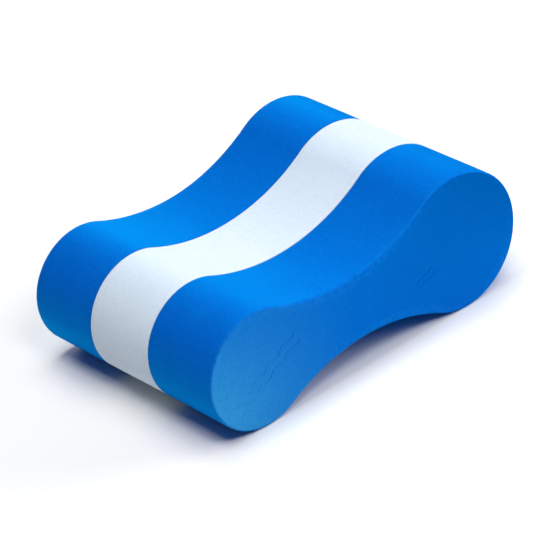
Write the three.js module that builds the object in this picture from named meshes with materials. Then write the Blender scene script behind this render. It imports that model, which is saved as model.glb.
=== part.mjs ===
// Pull buoy: a swimmer's leg float, laminated from three slabs of closed-cell foam
// and cut to a figure-of-eight outline with one large and one small lobe.
// Millimetres. +X points along the length to the large lobe, +Y across the slabs, +Z up.
// The origin is on the ground under the middle of the outline.
import * as THREE from 'three';

// Driving dimensions
const SLAB_WIDTH = { right: 52, centre: 49, left: 49 }; // measured across, from -Y to +Y
const LOBE_SPACING = 145; // between the centres of the two lobes
const LARGE_RADIUS = 40.75;
const SMALL_RADIUS = 34.75;
const WAIST_RADIUS = 114; // hollows above and below, each tangent to both lobes
const FOOT_WIDTH = 3; // flat under each lobe, where the foam's own weight rests
const EDGE_RADIUS = 1.25; // rounding of the two outer side faces
const BOND_THICKNESS = 0.25; // cured adhesive between two slabs
const BOND_INSET = 0.5; // the adhesive stops this far inside the foam's surface

// Fineness of the faceted outline
const ARC_STEP = THREE.MathUtils.degToRad(4);
const EDGE_STEPS = 3;

const FOAM_BLUE = new THREE.MeshStandardMaterial({ color: 0x0a61c4, roughness: 0.5, metalness: 0 });
const FOAM_WHITE = new THREE.MeshStandardMaterial({ color: 0xd0e1f1, roughness: 0.6, metalness: 0 });
const ADHESIVE = new THREE.MeshStandardMaterial({ color: 0x213c57, roughness: 0.45, metalness: 0 });

// Worked out from the driving dimensions
const TOTAL_WIDTH = SLAB_WIDTH.right + SLAB_WIDTH.centre + SLAB_WIDTH.left;
const TOTAL_LENGTH = LOBE_SPACING + LARGE_RADIUS + SMALL_RADIUS;
const RIGHT_FACE = -TOTAL_WIDTH / 2;
const RIGHT_JOINT = RIGHT_FACE + SLAB_WIDTH.right;
const LEFT_JOINT = RIGHT_JOINT + SLAB_WIDTH.centre;
const LEFT_FACE = TOTAL_WIDTH / 2;
const HALF_BOND = BOND_THICKNESS / 2;

const lobe = (x, radius) => ({ x, z: Math.sqrt(radius ** 2 - (FOOT_WIDTH / 2) ** 2), radius });
const LARGE = lobe(TOTAL_LENGTH / 2 - LARGE_RADIUS, LARGE_RADIUS);
const SMALL = lobe(SMALL_RADIUS - TOTAL_LENGTH / 2, SMALL_RADIUS);

// Centre of the hollow above (side 1) or below (side -1) the line that joins the lobes.
function waistCentre(side) {
  const toLarge = WAIST_RADIUS + LARGE.radius;
  const toSmall = WAIST_RADIUS + SMALL.radius;
  const between = new THREE.Vector2(LARGE.x - SMALL.x, LARGE.z - SMALL.z);
  const spacing = between.length();
  const along = (toSmall ** 2 - toLarge ** 2 + spacing ** 2) / (2 * spacing);
  const off = Math.sqrt(toSmall ** 2 - along ** 2);
  const unit = between.normalize();
  return {
    x: SMALL.x + unit.x * along - unit.y * off * side,
    z: SMALL.z + unit.y * along + unit.x * off * side,
  };
}

const ABOVE = waistCentre(1);
const BELOW = waistCentre(-1);

const direction = (from, to) => Math.atan2(to.z - from.z, to.x - from.x);

// Points of an arc from angle start to angle end, without its last point.
function arc(centre, radius, start, end) {
  const steps = Math.ceil(Math.abs(end - start) / ARC_STEP);
  const curve = new THREE.EllipseCurve(centre.x, centre.z, radius, radius, start, end, end < start);
  return curve.getPoints(steps).slice(0, steps);
}

// The outline in the XZ plane, counter-clockwise, moved inwards by inset.
function outline(inset) {
  const footAngle = (circle) => Math.acos((circle.z - inset) / (circle.radius - inset));
  const waist = WAIST_RADIUS + inset;
  const large = LARGE.radius - inset;
  const small = SMALL.radius - inset;
  const down = -Math.PI / 2;
  return [
    ...arc(LARGE, large, down + footAngle(LARGE), 0),
    ...arc(LARGE, large, 0, Math.PI / 2),
    ...arc(LARGE, large, Math.PI / 2, direction(LARGE, ABOVE)),
    ...arc(ABOVE, waist, direction(ABOVE, LARGE), direction(ABOVE, SMALL)),
    ...arc(SMALL, small, direction(SMALL, ABOVE), Math.PI / 2),
    ...arc(SMALL, small, Math.PI / 2, Math.PI),
    ...arc(SMALL, small, Math.PI, 1.5 * Math.PI - footAngle(SMALL)),
    footEnd(SMALL, small, footAngle(SMALL)),
    ...arc(SMALL, small, down + footAngle(SMALL), direction(SMALL, BELOW)),
    ...arc(BELOW, waist, direction(BELOW, SMALL), direction(BELOW, LARGE)),
    ...arc(LARGE, large, direction(LARGE, BELOW), down - footAngle(LARGE)),
    footEnd(LARGE, large, footAngle(LARGE)),
  ];
}

// The end of a lobe's flat foot that is towards -X.
function footEnd(circle, radius, angle) {
  return new THREE.Vector2(circle.x - radius * Math.sin(angle), circle.z - radius * Math.cos(angle));
}

// A closed solid through sections { y, inset }, given from -Y to +Y, with a flat cap at each end.
function loft(sections) {
  const rings = sections.map(({ y, inset }) => outline(inset).map((p) => [p.x, y, p.y]));
  const count = rings[0].length;
  const triangles = [];
  for (let ring = 0; ring + 1 < rings.length; ring += 1) {
    for (let i = 0; i < count; i += 1) {
      const here = ring * count + i;
      const next = ring * count + ((i + 1) % count);
      triangles.push(here, here + count, next);
      triangles.push(next, here + count, next + count);
    }
  }
  const cap = (ring) => THREE.ShapeUtils.triangulateShape(
    rings[ring].map(([x, , z]) => new THREE.Vector2(x, z)), []);
  const last = rings.length - 1;
  cap(0).forEach(([a, b, c]) => triangles.push(a, b, c));
  cap(last).forEach(([a, b, c]) => triangles.push(a + last * count, c + last * count, b + last * count));
  const geometry = new THREE.BufferGeometry();
  geometry.setAttribute('position', new THREE.Float32BufferAttribute(rings.flat(2), 3));
  geometry.setIndex(triangles);
  geometry.computeVertexNormals();
  return geometry;
}

// Sections of a rounded edge that ends on the outer side face at y; inwards is 1 or -1.
function roundedEdge(y, inwards) {
  const sections = [];
  for (let step = 0; step <= EDGE_STEPS; step += 1) {
    const angle = (step / EDGE_STEPS) * (Math.PI / 2);
    sections.push({
      y: y + inwards * EDGE_RADIUS * (1 - Math.sin(angle)),
      inset: EDGE_RADIUS * (1 - Math.cos(angle)),
    });
  }
  return sections; // from full outline, inside, to the face
}

function part(name, geometry, material) {
  const mesh = new THREE.Mesh(geometry, material.clone());
  mesh.name = name;
  return mesh;
}

function foamSlabRight() {
  const sections = [...roundedEdge(RIGHT_FACE, 1).reverse(), { y: RIGHT_JOINT - HALF_BOND, inset: 0 }];
  return part('foam_slab_right', loft(sections), FOAM_BLUE);
}

function foamSlabCentre() {
  const sections = [
    { y: RIGHT_JOINT + HALF_BOND, inset: 0 },
    { y: LEFT_JOINT - HALF_BOND, inset: 0 },
  ];
  return part('foam_slab_centre', loft(sections), FOAM_WHITE);
}

function foamSlabLeft() {
  const sections = [{ y: LEFT_JOINT + HALF_BOND, inset: 0 }, ...roundedEdge(LEFT_FACE, -1)];
  return part('foam_slab_left', loft(sections), FOAM_BLUE);
}

// The thin cured layer that bonds two slabs over their whole joint face.
function adhesiveFilm(name, joint) {
  const sections = [
    { y: joint - HALF_BOND, inset: BOND_INSET },
    { y: joint + HALF_BOND, inset: BOND_INSET },
  ];
  return part(name, loft(sections), ADHESIVE);
}

const pullBuoy = new THREE.Group();
pullBuoy.name = 'pull_buoy';
pullBuoy.add(
  foamSlabRight(),
  adhesiveFilm('adhesive_film_right', RIGHT_JOINT),
  foamSlabCentre(),
  adhesiveFilm('adhesive_film_left', LEFT_JOINT),
  foamSlabLeft(),
);

export default pullBuoy;
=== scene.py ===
import math
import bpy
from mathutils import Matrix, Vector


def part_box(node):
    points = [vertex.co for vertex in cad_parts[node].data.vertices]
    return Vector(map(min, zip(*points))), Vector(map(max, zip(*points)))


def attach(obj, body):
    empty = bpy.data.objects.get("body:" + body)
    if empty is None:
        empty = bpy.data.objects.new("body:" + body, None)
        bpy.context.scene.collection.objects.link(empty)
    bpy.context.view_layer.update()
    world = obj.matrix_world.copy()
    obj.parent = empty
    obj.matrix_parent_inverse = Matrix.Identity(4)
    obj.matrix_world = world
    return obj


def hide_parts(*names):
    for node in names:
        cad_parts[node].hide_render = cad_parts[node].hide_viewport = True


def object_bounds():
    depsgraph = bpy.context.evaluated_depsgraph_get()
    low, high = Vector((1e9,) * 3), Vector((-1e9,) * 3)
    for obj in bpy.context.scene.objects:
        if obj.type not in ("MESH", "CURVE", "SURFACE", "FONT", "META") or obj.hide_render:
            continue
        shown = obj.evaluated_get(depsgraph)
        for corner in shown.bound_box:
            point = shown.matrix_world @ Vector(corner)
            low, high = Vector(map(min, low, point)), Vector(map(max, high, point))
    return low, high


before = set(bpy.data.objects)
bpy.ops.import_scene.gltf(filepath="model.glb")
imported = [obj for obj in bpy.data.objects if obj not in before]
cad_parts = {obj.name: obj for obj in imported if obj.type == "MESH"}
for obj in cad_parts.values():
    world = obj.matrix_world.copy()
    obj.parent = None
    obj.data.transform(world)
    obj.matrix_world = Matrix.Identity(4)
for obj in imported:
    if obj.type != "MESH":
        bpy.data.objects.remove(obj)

from types import SimpleNamespace

import bpy
from mathutils import Matrix, Vector, noise
from mathutils.geometry import delaunay_2d_cdt

# A pull buoy: three slabs of closed-cell foam bonded side by side and cut to a figure of eight.
# Metres. The row frame has +X to the large lobe, +Y to the left slab and the ground at z = 0.
MM = 0.001

CAD_LOW, CAD_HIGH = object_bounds()
LENGTH = CAD_HIGH.x - CAD_LOW.x
HEIGHT = CAD_HIGH.z - CAD_LOW.z

# ---------------------------------------------------------------- camera

VIEW_AZIMUTH = -36.25
VIEW_ELEVATION = 30.57
VIEW_ROLL = -9.25
VIEW_DISTANCE = 1.9493
VIEW_TARGET = Vector((-0.0022, -0.0001, 0.0287))
FOCAL_LENGTH = 232.4
SENSOR_WIDTH = 36.0


def towards(azimuth, elevation):
    """The unit vector for two angles in degrees. Azimuth 0 is towards -Y, and 90 towards +X."""
    azimuth, elevation = math.radians(azimuth), math.radians(elevation)
    return Vector((math.sin(azimuth) * math.cos(elevation),
                   -math.cos(azimuth) * math.cos(elevation),
                   math.sin(elevation)))


def make_camera():
    roll = math.radians(VIEW_ROLL)
    back = towards(VIEW_AZIMUTH, VIEW_ELEVATION)
    level = Vector((0, 0, 1)).cross(back).normalized()
    upright = back.cross(level)
    right = math.cos(roll) * level + math.sin(roll) * upright
    up = math.cos(roll) * upright - math.sin(roll) * level
    data = bpy.data.cameras.new("camera")
    data.sensor_width = SENSOR_WIDTH
    data.lens = FOCAL_LENGTH
    data.clip_start = 0.05
    data.clip_end = 50
    camera = bpy.data.objects.new("camera", data)
    turn = Matrix((right, up, back)).transposed()
    camera.matrix_world = Matrix.Translation(VIEW_TARGET + VIEW_DISTANCE * back) @ turn.to_4x4()
    bpy.context.scene.collection.objects.link(camera)
    bpy.context.scene.camera = camera


make_camera()

# ---------------------------------------------------------------- outline

SMALL_RADIUS = 34.75 * MM
WAIST_RADIUS = 114 * MM
FOOT_WIDTH = 3 * MM
LARGE_RADIUS = (HEIGHT ** 2 + (FOOT_WIDTH / 2) ** 2) / (2 * HEIGHT)
COLUMN_STEP = 0.8 * MM


def lobe(x, radius):
    return Vector((x, math.sqrt(radius ** 2 - (FOOT_WIDTH / 2) ** 2))), radius


LARGE = lobe(CAD_HIGH.x - LARGE_RADIUS, LARGE_RADIUS)
SMALL = lobe(CAD_LOW.x + SMALL_RADIUS, SMALL_RADIUS)


def waist(side):
    """Centre and radius of the hollow above (side 1) or below (side -1), tangent to both lobes."""
    to_large, to_small = WAIST_RADIUS + LARGE[1], WAIST_RADIUS + SMALL[1]
    between = LARGE[0] - SMALL[0]
    spacing = between.length
    along = (to_small ** 2 - to_large ** 2 + spacing ** 2) / (2 * spacing)
    off = math.sqrt(to_small ** 2 - along ** 2)
    unit = between / spacing
    return SMALL[0] + unit * along + Vector((-unit.y, unit.x)) * off * side, WAIST_RADIUS


ABOVE, BELOW = waist(1), waist(-1)


def direction(circle, other):
    """The angle at which one circle's centre sees the other's."""
    away = other[0] - circle[0]
    return math.atan2(away.y, away.x)


def make_outline():
    """Points (x, z) and outward normals, counter-clockwise from under the large lobe."""
    turn = 2 * math.pi
    arcs = (
        (LARGE, direction(LARGE, BELOW), direction(LARGE, ABOVE), 1),
        (ABOVE, direction(ABOVE, LARGE), direction(ABOVE, SMALL), -1),
        (SMALL, direction(SMALL, ABOVE), direction(SMALL, BELOW) + turn, 1),
        (BELOW, direction(BELOW, SMALL), direction(BELOW, LARGE), -1),
    )
    points = []
    for (centre, radius), start, end, outward in arcs:
        count = math.ceil(radius * abs(end - start) / COLUMN_STEP)
        for i in range(count):
            angle = start + (end - start) * i / count
            ray = Vector((math.cos(angle), math.sin(angle)))
            points.append((centre + ray * radius, ray * outward))
    return points


OUTLINE = make_outline()

# ---------------------------------------------------------------- foam surface

SWELL = (0.16 * MM, 32 * MM)  # height and breadth of the slow unevenness of cut foam
RIPPLE = (0.010 * MM, 3.2 * MM)  # marks that the cutting wire leaves, straight across the slab
RIPPLE_RUN = 60 * MM
FACE_SWELL = (0.22 * MM, 45 * MM)
FACE_SEED = 3  # added to a slab's seed for its side faces


def smooth_noise(point, breadth, seed):
    return noise.noise(point / breadth + Vector((seed, -seed, seed * 0.5)))


def cut_unevenness(point, seed):
    """How far the cut perimeter stands out from the true outline at a point."""
    swell = SWELL[0] * smooth_noise(point, SWELL[1], seed)
    streak = Vector((point.x / RIPPLE[1], point.y / RIPPLE_RUN, point.z / RIPPLE[1]))
    return swell + RIPPLE[0] * noise.noise(streak + Vector((seed, 0, 0)))


# ---------------------------------------------------------------- pressed marks

MARK_WIDTH = 1.3 * MM
MARK_DEPTH = 0.3 * MM
MARK_WALL = 0.3 * MM
MARK_SUPPORT = 0.45 * MM  # flat border that keeps the mark's edge crisp
MARK_SLOPE = math.radians(28)
MARK_ALONG = Vector((math.cos(MARK_SLOPE), math.sin(MARK_SLOPE)))
MARK_ACROSS = Vector((-MARK_ALONG.y, MARK_ALONG.x))
POINTS_PER_WAVE = 14
POINTS_PER_END = 6


def wave_path(centre, length, height, waves):
    """A sine line about a centre (x, z) on the side face."""
    count = waves * POINTS_PER_WAVE
    path = []
    for i in range(count + 1):
        t = i / count
        swing = MARK_ACROSS * height / 2 * math.sin(2 * math.pi * waves * t)
        path.append(centre + MARK_ALONG * (t - 0.5) * length + swing)
    return path


def stroke_outline(path, half_width):
    """The closed outline, counter-clockwise, of a round-ended stroke along a path."""
    tangents = []
    for i in range(len(path)):
        tangents.append((path[min(i + 1, len(path) - 1)] - path[max(i - 1, 0)]).normalized())
    side = [p + Vector((t.y, -t.x)) * half_width for p, t in zip(path, tangents)]
    back = [p - Vector((t.y, -t.x)) * half_width for p, t in zip(path, tangents)]

    def round_end(centre, tangent):
        start = math.atan2(tangent.y, tangent.x) - math.pi / 2
        turns = [start + math.pi * (i + 1) / (POINTS_PER_END + 1) for i in range(POINTS_PER_END)]
        return [centre + Vector((math.cos(a), math.sin(a))) * half_width for a in turns]

    return side + round_end(path[-1], tangents[-1]) + back[::-1] + round_end(path[0], -tangents[0])


def wave_mark(centre, length, height, waves, spacing):
    """Two equal wave lines, one above the other."""
    shifts = (MARK_ACROSS * spacing * side for side in (-0.5, 0.5))
    return [wave_path(centre + shift, length, height, waves) for shift in shifts]


SMALL_LOBE_MARK = wave_mark(
    centre=Vector((-66 * MM, 34 * MM)), length=36 * MM, height=2.2 * MM, waves=3, spacing=6 * MM)
LARGE_LOBE_MARK = wave_mark(
    centre=Vector((42 * MM, 32 * MM)), length=12 * MM, height=1.6 * MM, waves=1, spacing=4 * MM)
SIDE_MARKS = SMALL_LOBE_MARK + LARGE_LOBE_MARK

# ---------------------------------------------------------------- meshes

ROW_STEP = 2 * MM
FACE_STEP = 3 * MM
SIDE_RADIUS = 1.25 * MM
SIDE = (SIDE_RADIUS, 6)  # radius and steps of the rounded edge of an outer side face
JOINT = (0.22 * MM, 3)  # the same for an edge at a joint
RIM_INSETS = (0.3 * MM, 1.0 * MM, 2.2 * MM)  # rings on the side face that keep its border flat
FACE_BORDER = SIDE_RADIUS + RIM_INSETS[-1] + FACE_STEP / 2
FACE_RAMP = 12 * MM  # the side face's unevenness fades out over this border
# How far from an outer side face the worn, lighter edge reaches; it also serves as a painted highlight
# along the rim.
WEAR_HIGHLIGHT_REACH = 2.5 * MM
OUT_OF_REACH = 1.0  # metres, for a slab without an outer side face

# Painted sheen and painted shade on the outer side faces: paler low on the small lobe, darker high on the
# large lobe.
PAINTED_LIGHT_SPLIT_X = -5 * MM  # x where a side face has its plain colour, between the painted sheen and the painted shade
PAINTED_SHEEN_MOST = 1.4
PAINTED_SHEEN_CURVE = 1.5  # above 1, the painted sheen gathers at the small lobe's end
PAINTED_SHEEN_FADE = 0.9  # share of the painted sheen that is lost from the ground up to full height
PAINTED_SHADE_MOST = 1.5

KEEP_INSIDE = 1  # delaunay_2d_cdt keeps the triangles inside the loop
SAME_POINT = 1e-7  # metres between points that it takes to be one


def painted_sheen_and_shade(point):
    """How much painted sheen a side face gets at (x, z): a pale veil that stands in for the bright
    floor's reflection, most on the lower part of the small lobe.
    Below 0 it is painted shade instead, deeper in colour than the rest: on the upper part of the large
    lobe."""
    sheen_reach = max(0.0, (PAINTED_LIGHT_SPLIT_X - point.x) / (PAINTED_LIGHT_SPLIT_X - CAD_LOW.x))
    painted_shade = max(0.0, (point.x - PAINTED_LIGHT_SPLIT_X) / (CAD_HIGH.x - PAINTED_LIGHT_SPLIT_X))
    pale = PAINTED_SHEEN_MOST * sheen_reach ** PAINTED_SHEEN_CURVE * (1 - PAINTED_SHEEN_FADE * point.y / HEIGHT)
    return pale - PAINTED_SHADE_MOST * painted_shade * point.y / HEIGHT


def edge_rows(y, inwards, radius, steps):
    """Rows (y, inset) from the full outline round an edge to the face at y, and on into it."""
    rows = []
    for i in range(steps + 1):
        angle = math.pi / 2 * i / steps
        rows.append((y + inwards * radius * (1 - math.sin(angle)), radius * (1 - math.cos(angle))))
    return rows + [(y, radius + inset) for inset in RIM_INSETS]


def depth_inside(point):
    """How far a point (x, z) well inside the outline is from it, roughly."""
    lobes = max(radius - (point - centre).length for centre, radius in (LARGE, SMALL))
    waists = min((point - centre).length - radius for centre, radius in (ABOVE, BELOW))
    return max(lobes, waists if SMALL[0].x < point.x < LARGE[0].x else 0.0)


def inside_outline(point, margin):
    """Whether a point (x, z) is inside the outline by at least margin."""
    for centre, radius in (LARGE, SMALL):
        if (point - centre).length < radius - margin:
            return True
    low, high = SMALL[0].x, LARGE[0].x
    if not low < point.x < high:
        return False
    level = SMALL[0].y + (LARGE[0].y - SMALL[0].y) * (point.x - low) / (high - low)
    if abs(point.y - level) > (SMALL[1] + LARGE[1]) / 2:
        return False
    return all((point - centre).length > radius + margin for centre, radius in (ABOVE, BELOW))


def near_mark(point, marks, margin):
    return any((point - p).length < margin for path in marks for p in path)


def face_points(boundary, marks):
    """Points (x, z) of a side face, how deep each is pressed in, and the edges of its marks.
    The boundary's points come first."""
    points = list(boundary)
    depths = [0.0] * len(points)
    edges = []
    loops = [(MARK_WIDTH / 2 + MARK_SUPPORT, 0.0), (MARK_WIDTH / 2, 0.0),
             (MARK_WIDTH / 2 - MARK_WALL, MARK_DEPTH)]
    for path in marks:
        for half_width, depth in loops:
            ring = stroke_outline(path, half_width)
            first = len(points)
            points += ring
            depths += [depth] * len(ring)
            edges += [(first + i, first + (i + 1) % len(ring)) for i in range(len(ring))]
    row_height = FACE_STEP * math.sqrt(3) / 2
    clear = MARK_WIDTH / 2 + MARK_SUPPORT + FACE_STEP / 2
    for row in range(math.ceil(HEIGHT / row_height)):
        for column in range(math.ceil(LENGTH / FACE_STEP)):
            spot = Vector((CAD_LOW.x + (column + 0.5 * (row % 2)) * FACE_STEP, row * row_height))
            if inside_outline(spot, FACE_BORDER) and not near_mark(spot, marks, clear):
                points.append(spot)
                depths.append(0.0)
    return points, depths, edges


def face_layout(boundary, marks):
    """Triangles of a side face: points (x, z), faces, and how deep each point is pressed in.
    The boundary's points come first, in their own order."""
    points, depths, edges = face_points(boundary, marks)
    loop = list(range(len(boundary)))
    made = delaunay_2d_cdt(points, edges, [loop], KEEP_INSIDE, SAME_POINT)
    new_points, new_faces, origins = made[0], made[2], made[3]
    found = {}
    for index, from_points in enumerate(origins):
        for origin in from_points:
            found[origin] = index
    order = [found[i] for i in range(len(boundary))]
    rest = sorted({i for face in new_faces for i in face} - set(order))
    place = {old: new for new, old in enumerate(order + rest)}
    new_depths = [max((depths[o] for o in origins[i]), default=0.0) for i in order + rest]
    faces = [[place[i] for i in face] for face in new_faces]
    return [new_points[i] for i in order + rest], faces, new_depths


def side_hollow(point, y, seed):
    """How far a side face at y lies inwards at (x, z), marks apart."""
    ramp = min(1.0, depth_inside(point) / FACE_RAMP)
    swell = smooth_noise(Vector((point.x, y, point.y)), FACE_SWELL[1], seed + FACE_SEED)
    return max(FACE_SWELL[0] * (0.5 + swell) * ramp ** 2, 0.0)


def skin_faces(rows):
    """Quads between rows of points that each go once round the outline."""
    count = len(OUTLINE)
    faces = []
    for row in range(rows - 1):
        for i in range(count):
            a, b = row * count + i, row * count + (i + 1) % count
            faces.append((a, a + count, b + count, b))
    return faces


def foam_mesh(name, rows, outer_faces, marks, seed):
    """A closed foam slab through rows (y, inset) from -Y to +Y, with a side face at each end.
    outer_faces are the y of those that are on the outside. Marks go on the face towards -Y."""
    verts, wear_and_highlight, painted_sheen_shade = [], [], []
    count = len(OUTLINE)
    for y, inset in rows:
        reach = min((abs(y - outer) for outer in outer_faces), default=OUT_OF_REACH)
        for point, normal in OUTLINE:
            out = cut_unevenness(Vector((point.x, y, point.y)), seed) - inset
            spot = point + normal * out
            verts.append(Vector((spot.x, y, max(spot.y, 0.0))))
            # Worn edges near an outer side face, lightened in the material, also serve as a painted
            # highlight along the rim.
            wear_and_highlight.append(max(0.0, 1 - reach / WEAR_HIGHLIGHT_REACH))
            # Near an outer side face, its painted sheen and painted shade fade in over the rounded edge.
            near_face = reach < SIDE_RADIUS
            painted_sheen_shade.append(painted_sheen_and_shade(spot) * min(1.0, inset / SIDE_RADIUS) if near_face else 0.0)
    faces = skin_faces(len(rows))
    for first, y, inwards in ((0, rows[0][0], 1), (count * (len(rows) - 1), rows[-1][0], -1)):
        ring = [Vector((verts[first + i].x, verts[first + i].z)) for i in range(count)]
        points, new_faces, depths = face_layout(ring, marks if inwards == 1 else ())
        start = len(verts)
        for point, depth in zip(points[count:], depths[count:]):
            sunk = depth + side_hollow(point, y, seed)
            verts.append(Vector((point.x, y + inwards * sunk, point.y)))
            wear_and_highlight.append(0.0)
            # Painted sheen and painted shade on outer side faces only.
            painted_sheen_shade.append(painted_sheen_and_shade(point) if y in outer_faces else 0.0)
        for face in new_faces:
            loop = [first + i if i < count else start + i - count for i in face]
            faces.append(tuple(loop) if inwards == 1 else tuple(reversed(loop)))
    mesh = bpy.data.meshes.new(name)
    mesh.from_pydata([tuple(v) for v in verts], [], faces)
    for label, values in (("worn_edge_highlight", wear_and_highlight), ("painted_sheen_shade", painted_sheen_shade)):
        mesh.attributes.new(label, "FLOAT", "POINT").data.foreach_set("value", values)
    mesh.polygons.foreach_set("use_smooth", [True] * len(mesh.polygons))
    mesh.validate()
    mesh.update()
    return mesh


def middle_rows(start, end):
    count = max(1, round((end - start) / ROW_STEP))
    return [(start + (end - start) * i / count, 0.0) for i in range(1, count)]


def add_piece(name, mesh, node, material):
    piece = bpy.data.objects.new(name, mesh)
    bpy.context.scene.collection.objects.link(piece)
    piece.data.materials.append(material)
    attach(piece, "root")
    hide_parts(node)
    return piece


# ---------------------------------------------------------------- materials


class Nodes:
    """A material's node tree, with short calls to add and join nodes."""

    def __init__(self, name):
        self.material = bpy.data.materials.new(name)
        self.material.use_nodes = True
        self.tree = self.material.node_tree
        self.surface = self.tree.nodes["Principled BSDF"]
        self.output = self.tree.nodes["Material Output"]

    def add(self, kind, inputs=None, **settings):
        node = self.tree.nodes.new(kind)
        for key, value in settings.items():
            setattr(node, key, value)
        for key, value in (inputs or {}).items():
            self.put(node, key, value)
        return node

    def put(self, node, key, value):
        if isinstance(value, bpy.types.NodeSocket):
            self.tree.links.new(value, node.inputs[key])
        else:
            node.inputs[key].default_value = value

    def math(self, operation, a, b, clamp=False):
        node = self.add("ShaderNodeMath", {0: a, 1: b}, operation=operation, use_clamp=clamp)
        return node.outputs[0]

    def mix(self, factor, a, b):
        """Colour a turned into colour b by factor, which is held between 0 and 1."""
        node = self.add("ShaderNodeMix", {0: factor, 6: a, 7: b}, data_type="RGBA")
        return node.outputs[2]

    def span(self, value, low, high, to_low=0.0, to_high=1.0):
        """to_low where value is low, to_high where it is high, and held between them."""
        ends = {"From Min": low, "From Max": high, "To Min": to_low, "To Max": to_high}
        return self.add("ShaderNodeMapRange", {"Value": value, **ends}).outputs["Result"]

    def noise(self, vector, size, detail=3.0, roughness=0.55):
        inputs = {"Vector": vector, "Scale": 1 / size, "Detail": detail, "Roughness": roughness}
        return self.add("ShaderNodeTexNoise", inputs).outputs["Fac"]

    def cells(self, vector, size):
        """Distance to the nearest of scattered centres that are about size apart."""
        return self.add("ShaderNodeTexVoronoi", {"Vector": vector, "Scale": 1 / size}).outputs["Distance"]

    def bump(self, height, strength, distance):
        inputs = {"Height": height, "Strength": strength, "Distance": distance}
        return self.add("ShaderNodeBump", inputs).outputs["Normal"]

    def attribute(self, name):
        return self.add("ShaderNodeAttribute", attribute_name=name).outputs["Fac"]


# Breadths of the foam's patterns, from one spot to the next
CELL = 0.55 * MM
PORE = 1.5 * MM
GRAIN = 0.9 * MM
SPECKLE = 1.7 * MM
MOTTLE = 16 * MM
STREAK = 1.6 * MM
STREAK_STRETCH = (1.0, 0.04, 1.0)  # streaks run straight across the slabs
# patches of the scuffed edges, whose lighter tone is also a painted highlight along the rim
SCUFF_HIGHLIGHT_BREADTH = 2.2 * MM
# grain of the side faces' painted sheen
PAINTED_SHEEN_GRAIN = 1.4 * MM

FOAM_RELIEF = 0.14 * MM  # depth of the fine relief
ROUGHNESS_SWING = 0.06  # to either side of the mean roughness
FOAM_IOR = 1.5
MOST_GLOSS = 0.2  # share of the light that is mirrored at a grazing view
GLOSS_OVER_BODY = 1e5  # the skin's gloss over that of the body under it


def foam_textures(n):
    """The patterns that colour and relief share."""
    place = n.add("ShaderNodeTexCoord").outputs["Object"]
    stretched = n.add("ShaderNodeMapping", {"Vector": place, "Scale": STREAK_STRETCH}).outputs[0]
    return SimpleNamespace(
        place=place,
        cells=n.cells(place, CELL),
        pores=n.cells(place, PORE),
        grain=n.noise(place, GRAIN, 4.0, 0.6),
        speckle=n.noise(place, SPECKLE, 2.0, 0.5),
        streaks=n.noise(stretched, STREAK, 2.0, 0.5),
    )


def foam_tone(n, made, tones):
    """Base colour: mottling, speckle, cells, pores, streaks, scuffed edges that also carry a painted
    highlight, and the side faces' painted sheen and painted shade.
    """
    mottle = n.noise(made.place, MOTTLE, 3.0, 0.5)
    tone = n.mix(n.span(mottle, 0.3, 0.7, 0.55, 1.0), tones["deep"], tones["plain"])
    tone = n.mix(n.span(made.speckle, 0.34, 0.50, 0.6, 0.0), tone, tones["deep"])
    tone = n.mix(n.span(made.speckle, 0.50, 0.66, 0.0, 0.25), tone, tones["pale"])
    tone = n.mix(n.span(made.cells, 0.10, 0.70, 0.0, 0.34), tone, tones["pale"])
    tone = n.mix(n.span(made.cells, 0.02, 0.30, 0.30, 0.0), tone, tones["deep"])
    tone = n.mix(n.span(made.pores, 0.03, 0.20, 0.45, 0.0), tone, tones["deep"])
    tone = n.mix(n.span(made.streaks, 0.4, 0.75, 0.0, 0.14), tone, tones["pale"])
    # Scuffed edges are lighter in patches; this lighter edge is also a painted highlight along the rim.
    patchy = n.span(n.noise(made.place, SCUFF_HIGHLIGHT_BREADTH, 4.0, 0.65), 0.42, 0.62)
    scuff_and_highlight = n.math("MULTIPLY", n.attribute("worn_edge_highlight"), patchy)
    tone = n.mix(n.math("MULTIPLY", scuff_and_highlight, 0.85), tone, tones["pale"])
    # Painted sheen, a pale veil for the bright floor's reflection low on the small lobe, and painted
    # shade high on the large lobe, from the side faces' point attribute.
    sheen_patchiness = n.span(n.noise(made.place, PAINTED_SHEEN_GRAIN, 3.0, 0.6), 0.3, 0.6, 0.75, 1.1)
    painted_sheen_shade = n.math("MULTIPLY", n.attribute("painted_sheen_shade"), sheen_patchiness)
    tone = n.mix(painted_sheen_shade, tone, tones["painted_sheen"])
    return n.mix(n.math("MULTIPLY", painted_sheen_shade, -1.0, clamp=True), tone, tones["painted_shade"])


def foam_relief(n, made):
    """Normals of the fine relief: cells and grain, pores, speckle and streaks."""
    height = n.math("ADD", n.math("MULTIPLY", made.cells, 0.5), n.math("MULTIPLY", made.grain, 0.5))
    height = n.math("ADD", height, n.span(made.pores, 0.0, 0.2, -0.5, 0.0))
    height = n.math("ADD", height, n.math("MULTIPLY", made.speckle, 0.5))
    height = n.math("ADD", height, n.math("MULTIPLY", made.streaks, 0.35))
    return n.bump(height, 0.5, FOAM_RELIEF)


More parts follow.
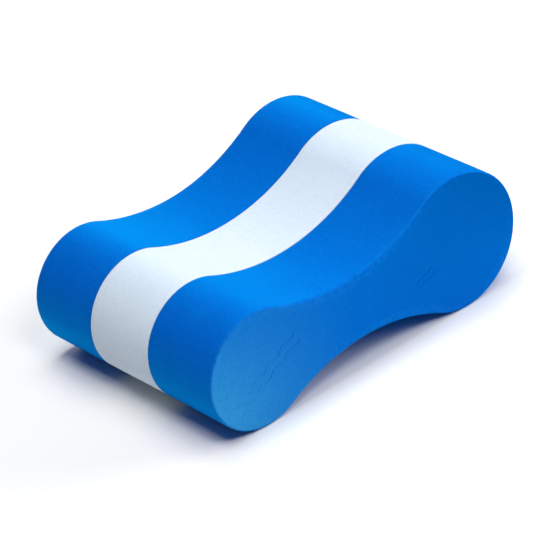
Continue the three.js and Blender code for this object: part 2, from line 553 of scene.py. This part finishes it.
def foam_material(name, tones, roughness, gloss, translucence=0.0):
    """Closed-cell foam. Its gloss is tinted, because the light that it mirrors has passed through
    the skin of its cells."""
    n = Nodes(name)
    made = foam_textures(n)
    relief = foam_relief(n, made)
    satin = n.span(made.grain, 0.3, 0.7, roughness - ROUGHNESS_SWING, roughness + ROUGHNESS_SWING)
    n.put(n.surface, "Base Color", foam_tone(n, made, tones))
    n.put(n.surface, "Roughness", satin)
    n.put(n.surface, "Normal", relief)
    if translucence:
        n.put(n.surface, "Subsurface Weight", translucence)
        n.put(n.surface, "Subsurface Radius", (4 * MM, 5 * MM, 6 * MM))
        n.put(n.surface, "Subsurface Scale", 1.0)
    skin = n.add("ShaderNodeBsdfAnisotropic", {"Color": gloss, "Roughness": satin, "Normal": relief})
    share = n.add("ShaderNodeFresnel", {"IOR": FOAM_IOR, "Normal": relief}).outputs[0]
    share = n.math("MINIMUM", share, MOST_GLOSS)
    # The skin has nearly all the gloss, and the body keeps a trace of it. A node says so, because
    # a file format that can't carry the mix of the two then gives the body a satin gloss of the
    # same tint.
    n.put(n.surface, "Specular IOR Level", n.math("DIVIDE", share, GLOSS_OVER_BODY))
    n.put(n.surface, "Specular Tint", gloss)
    both = n.add("ShaderNodeMixShader", {0: share, 1: n.surface.outputs[0], 2: skin.outputs[0]})
    n.put(n.output, "Surface", both.outputs[0])
    return n.material


def adhesive_material():
    """Cured contact adhesive: a satin, slightly cloudy film."""
    n = Nodes("adhesive")
    place = n.add("ShaderNodeTexCoord").outputs["Object"]
    cloud = n.noise(place, 5 * MM, 4.0, 0.6)
    dark, light = (0.010, 0.034, 0.075, 1), (0.022, 0.060, 0.120, 1)
    n.put(n.surface, "Base Color", n.mix(n.span(cloud, 0.35, 0.65), dark, light))
    n.put(n.surface, "Roughness", n.span(cloud, 0.3, 0.7, 0.35, 0.6))
    n.put(n.surface, "Normal", n.bump(n.noise(place, 0.6 * MM), 0.3, 0.05 * MM))
    return n.material


# In each set, the fourth tone is a painted sheen that stands in for the bright floor's reflection on a
# side face, and the fifth a painted shade.
BLUE_TONES = {
    "plain": (0.0, 0.101, 0.545, 1),
    "deep": (0.0, 0.082, 0.47, 1),
    "pale": (0.004, 0.155, 0.65, 1),
    "painted_sheen": (0.035, 0.285, 0.66, 1),
    "painted_shade": (0.0, 0.075, 0.40, 1),
}
WHITE_TONES = {
    "plain": (0.635, 0.75, 0.885, 1),
    "deep": (0.56, 0.685, 0.82, 1),
    "pale": (0.74, 0.83, 0.93, 1),
    "painted_sheen": (0.74, 0.83, 0.93, 1),
    "painted_shade": (0.56, 0.685, 0.82, 1),
}
BLUE = foam_material("foam_blue", BLUE_TONES, roughness=0.5, gloss=(0.0, 0.62, 0.95, 1))
WHITE = foam_material(
    "foam_white", WHITE_TONES, roughness=0.6, gloss=(0.5, 0.5, 0.5, 1), translucence=0.1)
ADHESIVE = adhesive_material()

# ---------------------------------------------------------------- the five pieces


def foam_slab(name, material, low_edge, high_edge, seed, marks=()):
    """A slab that fills its CAD node's place. Its edges towards -Y and +Y are SIDE or JOINT."""
    low, high = (corner.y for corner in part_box(name))
    low_rows = edge_rows(low, 1, *low_edge)[::-1]
    high_rows = edge_rows(high, -1, *high_edge)
    rows = low_rows + middle_rows(low + low_edge[0], high - high_edge[0]) + high_rows
    outer_faces = [y for y, edge in ((low, low_edge), (high, high_edge)) if edge is SIDE]
    mesh = foam_mesh(name + "_foam", rows, outer_faces, marks, seed)
    piece = add_piece(name + "_foam", mesh, name, material)


BOND_PROFILE = ((-1, 1.0), (-0.6, 0.7), (0, 0.6), (0.6, 0.7), (1, 1.0))  # across it, and share of inset
BOND_GAP = 0.01 * MM  # on either face
BOND_WANDER = (0.35, 6 * MM)  # share of the inset by which its edge wanders, and over what breadth
BOND_LOWEST = 0.05 * MM  # above the ground


def adhesive_film(name, seed):
    """A thin sheet whose edge wanders a little and stays inside the foam's surface."""
    low, high = (corner.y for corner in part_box(name))
    inset = CAD_HIGH.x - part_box(name)[1].x
    middle, half = (low + high) / 2, (high - low) / 2 - BOND_GAP
    count = len(OUTLINE)
    verts = []
    for across, share in BOND_PROFILE:
        for point, normal in OUTLINE:
            wander = noise.noise(Vector((point.x, seed * MM, point.y)) / BOND_WANDER[1])
            spot = point - normal * inset * share * (1 + BOND_WANDER[0] * wander)
            verts.append((spot.x, middle + half * across, max(spot.y, BOND_LOWEST)))
    faces = skin_faces(len(BOND_PROFILE))
    faces.append(tuple(range(count)))
    faces.append(tuple(reversed(range(count * (len(BOND_PROFILE) - 1), count * len(BOND_PROFILE)))))
    mesh = bpy.data.meshes.new(name + "_bond")
    mesh.from_pydata(verts, [], faces)
    mesh.validate()
    add_piece(name + "_bond", mesh, name, ADHESIVE)


foam_slab("foam_slab_right", BLUE, SIDE, JOINT, seed=1.7, marks=SIDE_MARKS)
foam_slab("foam_slab_centre", WHITE, JOINT, JOINT, seed=5.2)
foam_slab("foam_slab_left", BLUE, JOINT, SIDE, seed=9.4)
adhesive_film("adhesive_film_right", seed=2.0)
adhesive_film("adhesive_film_left", seed=7.0)

# ---------------------------------------------------------------- floor, light


FLOOR_REACH = 6.0
FLOOR_DROP = 0.05 * MM  # keeps the floor clear of the feet
FLOOR_GLOW = (0.4, 1.4, 0.0, 0.9)  # two distances, and its glow there, which makes up for the lamps


def make_floor():
    corners = [(x * FLOOR_REACH, y * FLOOR_REACH, 0) for x, y in ((-1, -1), (1, -1), (1, 1), (-1, 1))]
    mesh = bpy.data.meshes.new("floor")
    mesh.from_pydata(corners, [], [(0, 1, 2, 3)])
    floor = bpy.data.objects.new("floor", mesh)
    floor.location.z = -FLOOR_DROP
    bpy.context.scene.collection.objects.link(floor)
    n = Nodes("floor")
    place = n.add("ShaderNodeTexCoord").outputs["Object"]
    tone = n.mix(n.noise(place, 0.3), (0.92, 0.92, 0.92, 1), (0.95, 0.95, 0.95, 1))
    n.put(n.surface, "Base Color", tone)
    n.put(n.surface, "Roughness", 0.8)
    n.put(n.surface, "Specular IOR Level", 0.1)
    away = n.add("ShaderNodeVectorMath", {0: place}, operation="LENGTH").outputs["Value"]
    n.put(n.surface, "Emission Color", (1, 1, 1, 1))
    n.put(n.surface, "Emission Strength", n.span(away, *FLOOR_GLOW))
    mesh.materials.append(n.material)


def softbox(name, azimuth, elevation, distance, size, power):
    """A rectangular light aimed at the object's middle, from a direction as towards() takes it."""
    away = towards(azimuth, elevation)
    data = bpy.data.lights.new(name, "AREA")
    data.shape = "RECTANGLE"
    data.size, data.size_y = size
    data.energy = power
    lamp = bpy.data.objects.new(name, data)
    lamp.location = Vector((0, 0, HEIGHT / 2)) + away * distance
    lamp.rotation_mode = "QUATERNION"
    lamp.rotation_quaternion = away.to_track_quat("Z", "Y")
    bpy.context.scene.collection.objects.link(lamp)


def make_world(strength):
    world = bpy.data.worlds.new("world")
    world.use_nodes = True
    background = world.node_tree.nodes["Background"]
    background.inputs["Color"].default_value = (1, 1, 1, 1)
    background.inputs["Strength"].default_value = strength
    bpy.context.scene.world = world


make_floor()
make_world(strength=0.03)
softbox("overhead", azimuth=135, elevation=80, distance=1.3, size=(0.8, 0.8), power=8.7)
softbox("overhead_left", azimuth=-90, elevation=71, distance=1.3, size=(0.4, 0.4), power=5.3)
softbox("back_right", azimuth=60, elevation=22, distance=1.1, size=(0.8, 0.4), power=7.4)
softbox("back_left", azimuth=150, elevation=20, distance=1.1, size=(0.8, 0.4), power=3.8)
softbox("front", azimuth=-20, elevation=53, distance=0.7, size=(0.22, 0.22), power=1.35)
bpy.context.scene.view_settings.view_transform = "Standard"
